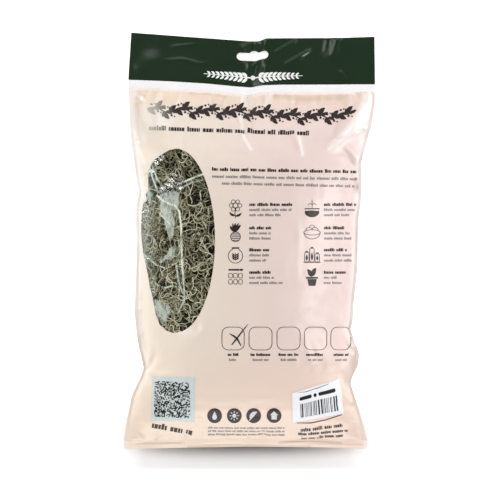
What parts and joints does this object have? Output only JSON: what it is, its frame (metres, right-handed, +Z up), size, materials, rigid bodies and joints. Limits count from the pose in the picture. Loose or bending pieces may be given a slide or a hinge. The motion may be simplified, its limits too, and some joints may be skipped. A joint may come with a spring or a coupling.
{
  "type": "bag of dried spanish moss",
  "caption": "Bunch of dried curly moss in a printed film bag with a clear oval window, a barcode label and a hang header, lying on its back panel.",
  "frame": {"origin": "under the middle of the bag's length and width, on the surface that it lies on", "axes": "+Y along the bag towards the hang header, +Z up through the bag from its back panel to its front panel, +X to the right as the front panel is read"},
  "size_m": [0.252, 0.4162, 0.0847],
  "materials": {
    "printed_film": "satin gloss, printed peach",
    "clear_film": "clear and crinkled",
    "white_film": "gloss, printed white",
    "header_film": "gloss, printed dark green",
    "dried_moss": "matt, curly strands",
    "label_paper": "smooth paper"
  },
  "bodies": {
    "root": {"front_film": "printed_film", "window_film": "clear_film", "back_film": "printed_film", "left_side_weld": "printed_film", "right_side_weld": "printed_film", "moss_bunch": "dried_moss", "barcode_label": "label_paper", "bottom_seal": "printed_film", "header_weld": "white_film", "header_front_ply": "header_film", "header_back_ply": "header_film"}
  },
  "joints": []
}
